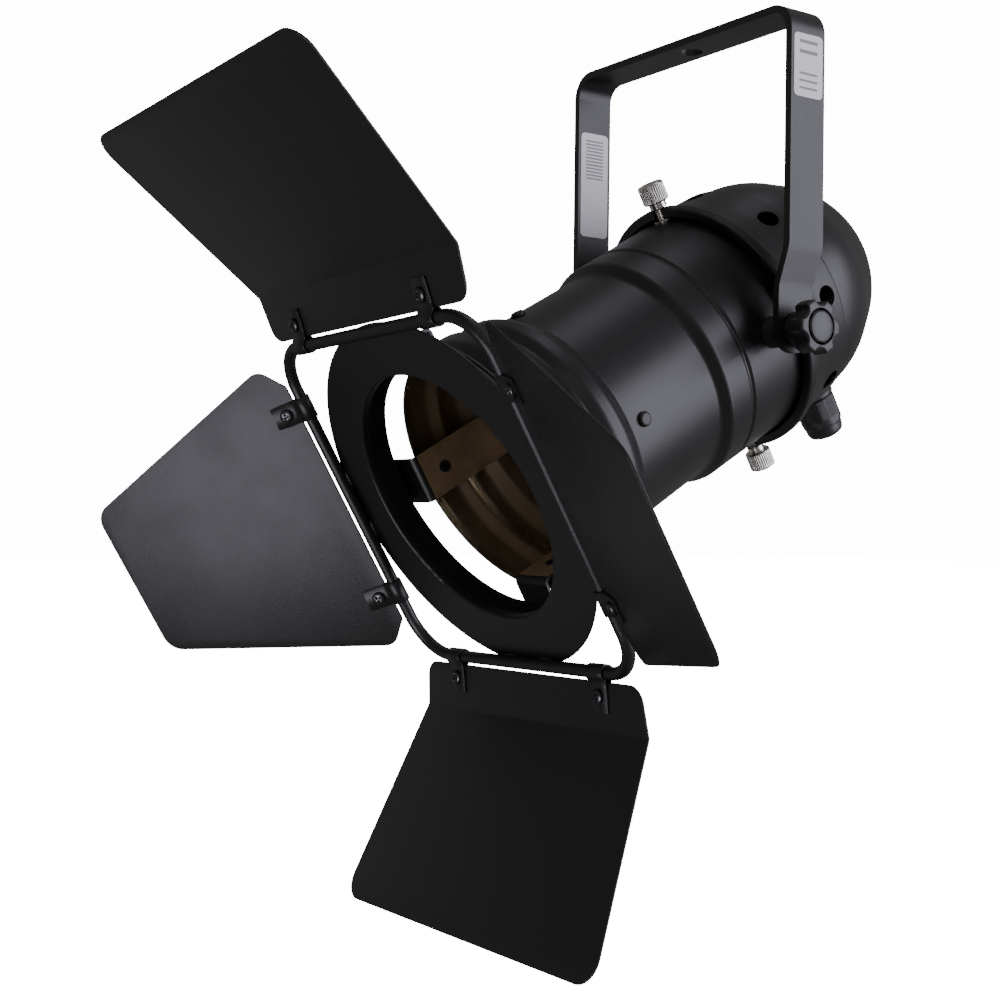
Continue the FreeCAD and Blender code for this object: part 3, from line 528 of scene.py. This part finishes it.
def star_radius(angle, radius):
    """The star knob's outline: a disc with six round scallops, its points softened."""
    reach, bite, lobe = 13.7, 4.3, TAU / 6
    off = (angle + lobe / 2) % lobe - lobe / 2
    inside = bite ** 2 - (reach * math.sin(off)) ** 2
    scallop = reach * math.cos(off) - math.sqrt(inside) if inside > 0 else 30.0
    soft = 1.3
    blend = max(0.0, min(1.0, 0.5 + 0.5 * (radius - scallop) / soft))
    value = radius + (scallop - radius) * blend - soft * blend * (1 - blend)
    return min(value, radius)


def knob(side):
    """A moulded star knob with a boss, softened edges and a domed centre cap in a groove."""

    def shape(angle, radius, height):
        return star_radius(angle, 11.8) - (11.8 - radius) if radius > 8.0 else radius

    bm = bmesh.new()
    profile = [(4.3, 69.35), (7.1, 69.35), (7.5, 69.8), (7.6, 75.9), (8.8, 75.9), (10.6, 76.0),
               (11.5, 76.3), (11.8, 77.0), (11.8, 80.0), (11.8, 83.0), (11.6, 83.7), (11.1, 84.15),
               (10.4, 84.3), (8.9, 84.3), (7.9, 84.3), (7.6, 84.0), (7.55, 82.6), (4.3, 82.6)]
    add_lathe(bm, profile, 216, shape, ends=(False, False))
    finish_piece(f"{side}_star_knob", bm, pivot_frame(side), f"knob_{side}", "black_plastic",
                 [f"knob_{side}"], sharp=40)
    bm = bmesh.new()
    profile = [(0.01, 82.9), (7.0, 82.9), (7.15, 83.4), (7.1, 84.1), (6.6, 84.5)]
    profile += [(6.6 * math.cos(t * math.pi / 16) + 0.01, 84.5 + 0.68 * math.sin(t * math.pi / 16))
                for t in range(1, 9)]
    add_lathe(bm, profile, 96)
    finish_piece(f"{side}_knob_cap", bm, pivot_frame(side), f"knob_{side}", "black_plastic",
                 [f"knob_cap_{side}"], sharp=50)


def gland_nut():
    """The gland's dome nut: soft hexagon flats with fine grip ribs, then a smooth dome."""

    def shape(angle, radius, height):
        if radius < 7.2 or height > 72.9:
            return radius
        flat = min(radius, hex_radius(angle, 2 * radius - 1.0))
        rib = 0.11 * (0.5 + 0.5 * math.cos(84 * angle)) if 60.4 < height < 72.0 else 0.0
        return flat - rib

    bm = bmesh.new()
    profile = [(7.1, 59.75), (9.7, 59.75), (10.05, 60.2), (10.05, 60.41)]
    profile += [(10.05, 60.5 + step * 1.15) for step in range(10)]
    profile += [(10.05, 72.1), (10.0, 72.8), (9.7, 73.5), (9.2, 74.6)]
    for step in range(1, 9):
        share = step / 8
        profile.append((9.2 - 2.7 * share ** 2.2, 74.6 + 5.3 * math.sin(share * math.pi / 2)))
    profile += [(5.9, 80.4), (5.1, 80.35), (4.7, 79.9), (4.7, 74.5), (6.0, 72.3), (7.1, 70.3)]
    add_lathe(bm, profile, 336, shape, ends=(False, False))
    finish_piece("gland_dome_nut", bm, radial_frame(GLAND_PLACE, -1), "gland_nut", "black_plastic",
                 ["gland_nut"], sharp=30)


# ---------------------------------------------------------------- barn door


LEAF_THICK = 1.0
EDGE_ROUND = 0.32
LEAF_FOLD = 24.4
LEAF_FOLD_ANGLE = 29.0
LEAF_FOLD_RADIUS = 3.4
BLADE_LENGTH = 95.8
# Right-hand corners of each outline: X, Y and rounding radius.
FLANGE_CORNERS = [(78.1, 3.7, 8.0), (80.9, LEAF_FOLD, 0.0)]
BLADE_HALF = 94.1
LEAF_CORNER = 10.0
SIDE_LEAF_CORNERS = [(61.0, 4.05, 3.0), (72.7, 14.0, 7.0), (38.0, 124.9, LEAF_CORNER)]


def sheet_mesh(outline, thick):
    """A flat sheet with rolled-over coated edges."""
    bm = bmesh.new()
    face = bm.faces.new([bm.verts.new((p.x, p.y, -thick / 2)) for p in outline])
    lifted = bmesh.ops.extrude_face_region(bm, geom=[face])
    top = [item for item in lifted["geom"] if isinstance(item, bmesh.types.BMVert)]
    bmesh.ops.translate(bm, verts=top, vec=(0, 0, thick))
    bmesh.ops.recalc_face_normals(bm, faces=bm.faces)
    rims = [edge for edge in bm.edges if abs(edge.verts[0].co.z - edge.verts[1].co.z) < 1e-6]
    bmesh.ops.bevel(bm, geom=rims, offset=EDGE_ROUND, segments=3, profile=0.5, affect="EDGES")
    return bm


def cut_across(bm, place):
    """Cut every face along a line of equal Y, so that the sheet can bend there."""
    everything = bm.verts[:] + bm.edges[:] + bm.faces[:]
    bmesh.ops.bisect_plane(bm, geom=everything, plane_co=(0, place, 0), plane_no=(0, 1, 0))


def both_sides(right, shift):
    """A closed outline: right-hand corners and their mirror images, moved sideways together."""
    return ([(shift + x, y, r) for x, y, r in right]
            + [(shift - x, y, r) for x, y, r in reversed(right)])


def bent_leaf(side):
    """A top or bottom leaf: a short flange, then a blade folded forward."""
    bend = math.radians(LEAF_FOLD_ANGLE)
    fold_radius = LEAF_FOLD_RADIUS
    start = LEAF_FOLD - fold_radius * math.tan(bend / 2)
    arc = fold_radius * bend
    length = start + arc + BLADE_LENGTH - fold_radius * math.tan(bend / 2)
    right = FLANGE_CORNERS + [(BLADE_HALF, length, LEAF_CORNER)]
    bm = sheet_mesh(rounded_outline(both_sides(right, LEAF_SHIFTS[side])), LEAF_THICK)
    for step in range(9):
        cut_across(bm, start + arc * step / 8)
    for vert in bm.verts:
        along, height = vert.co.y, vert.co.z
        turn = max(0.0, min(bend, (along - start) / fold_radius))
        rest = max(0.0, along - start - arc)
        inner = fold_radius - height
        if along > start:
            vert.co.y = start + inner * math.sin(turn) + rest * math.cos(turn)
            vert.co.z = fold_radius - inner * math.cos(turn) + rest * math.sin(turn)
    finish_piece(f"{side}_leaf", bm, leaf_frame(side), f"leaf_{side}", "sheet_paint",
                 [f"leaf_{side}"], sharp=40)


def flat_leaf(side):
    """A side leaf: flat and tapered."""
    outline = both_sides(SIDE_LEAF_CORNERS, LEAF_SHIFTS[side])
    bm = sheet_mesh(rounded_outline(outline), LEAF_THICK)
    finish_piece(f"{side}_leaf", bm, leaf_frame(side), f"leaf_{side}", "sheet_paint",
                 [f"leaf_{side}"], sharp=40)


def bezier(p0, p1, p2, p3, steps):
    """Points along a cubic curve, without its last one."""
    points = []
    for step in range(steps):
        t = step / steps
        points.append((1 - t) ** 3 * p0 + 3 * (1 - t) ** 2 * t * p1 + 3 * (1 - t) * t * t * p2
                      + t ** 3 * p3)
    return points


def tab_path():
    """The middle line of a tab: front tail, neck, loop round the wire, neck, back tail."""
    radius, tail = 3.23, 0.95
    meet = math.radians(52)
    touch = Vector((radius * math.cos(meet), radius * math.sin(meet)))
    tangent = Vector((math.sin(meet), -math.cos(meet)))
    upper = [Vector((16.3, tail)), Vector((11.0, tail))]
    upper += bezier(Vector((6.2, tail)), Vector((4.4, tail)), touch + tangent * 1.3, touch, 8)
    steps = 30
    loop = []
    for step in range(steps + 1):
        angle = meet + (TAU - 2 * meet) * step / steps
        loop.append(Vector((radius * math.cos(angle), radius * math.sin(angle))))
    lower = [Vector((p.x, -p.y)) for p in reversed(upper)]
    return upper + loop + lower


def leaf_tabs(side):
    """Two folded strips that turn on the wire and hold the leaf."""
    half_width, half_thick = 5.4, 0.38
    path = tab_path()
    bm = bmesh.new()
    for x in TAB_PLACES[side]:
        rows = []
        for index, point in enumerate(path):
            before = path[max(0, index - 1)]
            after = path[min(len(path) - 1, index + 1)]
            along = (after - before).normalized()
            across = Vector((-along.y, along.x))
            ends = index in (0, len(path) - 1)
            wide = half_width - (0.35 if ends else 0.0)
            soft = 0.16
            ring = []
            for u, v in ((-wide, -half_thick + soft), (-wide + soft, -half_thick),
                         (wide - soft, -half_thick), (wide, -half_thick + soft),
                         (wide, half_thick - soft), (wide - soft, half_thick),
                         (-wide + soft, half_thick), (-wide, half_thick - soft)):
                spot = point + across * v
                ring.append(Vector((x + u, spot.x, spot.y)))
            rows.append(ring)
        add_rows(bm, rows)
    finish_piece(f"{side}_leaf_tabs", bm, leaf_frame(side), f"leaf_{side}", "sheet_paint",
                 [f"leaf_{side}_tabs"], sharp=50)


def weld_beads():
    """Short uneven welds where the square wire meets the round plate."""
    bm = bmesh.new()
    roll = math.atan2(CAN_UP.dot(Vector(JOINTS["leaf_top_hinge"]["axis"])),
                      -ROW_X.dot(Vector(JOINTS["leaf_top_hinge"]["axis"])))
    for quarter in range(4):
        turn = -roll + quarter * TAU / 4
        for side_shift in (-13.0, 13.0):
            rows = []
            steps = 26
            for step in range(steps + 1):
                share = step / steps
                x = side_shift + (share - 0.5) * 9.0
                swell = math.sin(math.pi * share) ** 0.5
                lump = 1 + 0.28 * noise(Vector((x * 1.4, quarter * 7.0, side_shift)))
                radius = max(0.05, 1.25 * swell * lump)
                ring = []
                for index in range(12):
                    angle = TAU * index / 12
                    across = 77.2 + radius * math.cos(angle)
                    depth = 150.0 + radius * math.sin(angle) * 0.9
                    ring.append(Vector((x * math.cos(turn) - across * math.sin(turn),
                                        x * math.sin(turn) + across * math.cos(turn), depth)))
                rows.append(ring)
            add_rows(bm, rows)
    finish_piece("frame_welds", bm, CAN, "barn_door", "sheet_paint", sharp=60)


# ---------------------------------------------------------------- stickers


def rounded_sticker(node, stripes, corner=2.2):
    """A thin sticker with round corners, in the place that the CAD gives it."""
    low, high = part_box(node)
    middle = (low + high) / 2 / MM
    size = (high - low) / MM
    y, z = size.y / 2, size.z / 2
    points = rounded_outline([(-y, -z, corner), (y, -z, corner), (y, z, corner), (-y, z, corner)])
    bm = bmesh.new()
    depth = size.x / 2
    rows = [[Vector((x, p.x, p.y)) + middle for p in points] for x in (-depth, depth)]
    add_rows(bm, rows)
    bands = [(low.z + a * (high.z - low.z), low.z + b * (high.z - low.z), pitch, share)
             for a, b, pitch, share in stripes]
    MATERIALS[f"{node}_vinyl"] = sticker(f"{node}_vinyl", bands)
    finish_piece(f"{node}_vinyl", bm, Matrix.Scale(MM, 4), "yoke", f"{node}_vinyl", [node])


# ---------------------------------------------------------------- CAD nodes that stay


REPLACED = {f"leaf_{side}{tail}" for side in LEAF_ANGLES for tail in ("", "_tabs", "_screws")}
REPLACED |= {"thumbscrew_top", "thumbscrew_bottom", "knob_left", "knob_right", "knob_cap_left",
             "knob_cap_right", "gland_nut", "label_inner", "label_outer"}


# Bevel widths on the thin rings, where two faces share a sharp edge.
SOFT_EDGES = {"door_plate": 0.2, "colour_frame": 0.12}


def paint_cad_nodes():
    """Give each CAD node that stays its slot's material and smooth shading."""
    for part in frame["record"]["subparts"]:
        node = part["node"]
        if node in REPLACED:
            continue
        piece = NODES[node]
        piece.data.materials.clear()
        piece.data.materials.append(MATERIALS[part["material_slot"]])
        smooth(piece, 32)


def soften_edges(node, width):
    """Bevel the sharp edges that two faces of a CAD node share; split edges stay as they are."""
    bevel = NODES[node].modifiers.new("soft_edges", "BEVEL")
    bevel.width = width * MM
    bevel.segments = 2
    bevel.limit_method = "ANGLE"
    bevel.angle_limit = math.radians(50)
    bevel.harden_normals = True


def tint_inside(node, furthest, material):
    """Give the faces that look towards the can's axis the bronze-brown inside tint, which carries its painted
    light and shade.
    """
    piece = NODES[node]
    piece.data.materials.append(MATERIALS[material])
    for face in piece.data.polygons:
        offset = face.center - PIVOT
        along = offset.dot(BEAM)
        radial = offset - BEAM * along
        inward = face.normal.dot(radial.normalized()) < -0.25
        if inward and along < furthest * MM:
            face.material_index = 1


# ---------------------------------------------------------------- camera, floor and light


def aim(thing, place, target):
    """Put a light at a place and turn it towards a target."""
    thing.location = place
    thing.rotation_euler = (place - target).to_track_quat("Z", "Y").to_euler()


CAMERA_ANGLES = (55.09, -0.56, 0.71)  # azimuth, elevation and roll, in degrees
CAMERA_FROM_PIVOT = Vector((548.9, -488.3, -81.3))
CAMERA_LENS = 56.52


def add_camera():
    """The camera stands to the front right, level with the lantern's middle."""
    azimuth, elevation, roll = (math.radians(angle) for angle in CAMERA_ANGLES)
    back = Vector((math.sin(azimuth) * math.cos(elevation),
                   -math.cos(azimuth) * math.cos(elevation), math.sin(elevation)))
    level = Vector((math.cos(azimuth), math.sin(azimuth), 0))
    upright = back.cross(level)
    right = level * math.cos(roll) + upright * math.sin(roll)
    up = upright * math.cos(roll) - level * math.sin(roll)
    camera = bpy.data.cameras.new("camera")
    camera.sensor_width = 36.0
    camera.lens = CAMERA_LENS
    camera.clip_start = 0.01
    made = bpy.data.objects.new("camera", camera)
    place = PIVOT + CAMERA_FROM_PIVOT * MM
    made.matrix_world = Matrix.Translation(place) @ Matrix((right, up, back)).transposed().to_4x4()
    bpy.context.scene.collection.objects.link(made)
    bpy.context.scene.camera = made


def add_area(name, place, target, width, height, radiance, colour):
    """A soft box of a given brightness."""
    light = bpy.data.lights.new(name, "AREA")
    light.shape = "RECTANGLE"
    light.size, light.size_y = width, height
    light.energy = radiance * math.pi * width * height
    light.color = colour
    made = bpy.data.objects.new(name, light)
    bpy.context.scene.collection.objects.link(made)
    aim(made, Vector(place), Vector(target))
    return made


COOL_WHITE = (0.87, 0.87, 1.0)
WHITE = (1, 1, 1)
# Name, offset from the lantern's middle, width and height in metres, radiance and colour.
SOFT_BOXES = [
    ("right_box", (1.22, 0.98, 0.12), 1.15, 1.6, 4.6, COOL_WHITE),
    ("low_front_box", (0.32, -1.15, -0.74), 1.15, 0.75, 7.8, COOL_WHITE),
    ("top_strip", (0.1, 0.1, 1.6), 1.2, 0.5, 1.2, COOL_WHITE),
    ("front_fill", (1.5, -1.2, 0.9), 0.9, 0.9, 0.6, WHITE),
]


def add_stage():
    """A pale floor under the lantern, a pale surround, and soft boxes."""
    low = cad_box[0]
    bm = bmesh.new()
    bmesh.ops.create_grid(bm, x_segments=1, y_segments=1, size=12)
    mesh = bpy.data.meshes.new("floor")
    bm.to_mesh(mesh)
    bm.free()
    floor = bpy.data.objects.new("floor", mesh)
    floor.location = (0, 0, low[2] - 0.22)
    bpy.context.scene.collection.objects.link(floor)
    look = Look("floor_paper", (0.9, 0.9, 0.9), 0.9)
    look.shader.inputs["Emission Color"].default_value = (1, 1, 1, 1)
    look.shader.inputs["Emission Strength"].default_value = 17.0
    mesh.materials.append(look.material)
    floor.visible_glossy = False
    floor.visible_diffuse = False

    world = bpy.data.worlds.new("studio")
    bpy.context.scene.world = world
    world.use_nodes = True
    tree = world.node_tree
    tree.nodes.clear()
    output = tree.nodes.new("ShaderNodeOutputWorld")
    seen = tree.nodes.new("ShaderNodeBackground")
    seen.inputs["Strength"].default_value = 18.0
    room = tree.nodes.new("ShaderNodeBackground")
    room.inputs["Color"].default_value = (1.0, 0.97, 0.97, 1)
    room.inputs["Strength"].default_value = 0.2
    choose = tree.nodes.new("ShaderNodeMixShader")
    path = tree.nodes.new("ShaderNodeLightPath")
    tree.links.new(path.outputs["Is Camera Ray"], choose.inputs[0])
    tree.links.new(room.outputs[0], choose.inputs[1])
    tree.links.new(seen.outputs[0], choose.inputs[2])
    tree.links.new(choose.outputs[0], output.inputs[0])

    middle = Vector((0, -0.1, -0.17))
    for name, offset, width, height, radiance, colour in SOFT_BOXES:
        add_area(name, middle + Vector(offset), middle, width, height, radiance, colour)


# ---------------------------------------------------------------- make everything

add_camera()
paint_cad_nodes()
# The inside tint: painted shade on the tube, painted light on the clips.
tint_inside("can_tube", 140, "inside_tint_painted_shade")
for clip in ("clip_top", "clip_left", "clip_bottom", "clip_right"):
    tint_inside(clip, 129, "inside_tint_painted_light")
for node, width in SOFT_EDGES.items():
    soften_edges(node, width)
for side in ("left", "right"):
    knob(side)
thumbscrew("top", 1)
thumbscrew("bottom", -1)
gland_nut()
for side in LEAF_ANGLES:
    if side in ("top", "bottom"):
        bent_leaf(side)
    else:
        flat_leaf(side)
    leaf_tabs(side)
    leaf_screws(side)
weld_beads()
rounded_sticker("label_inner", [(0.55, 0.95, 1.7, 0.45), (0.12, 0.45, 60.0, 0.0)])
rounded_sticker("label_outer", [(0.08, 0.42, 3.1, 0.3), (0.6, 0.9, 4.4, 0.35)])
add_stage()
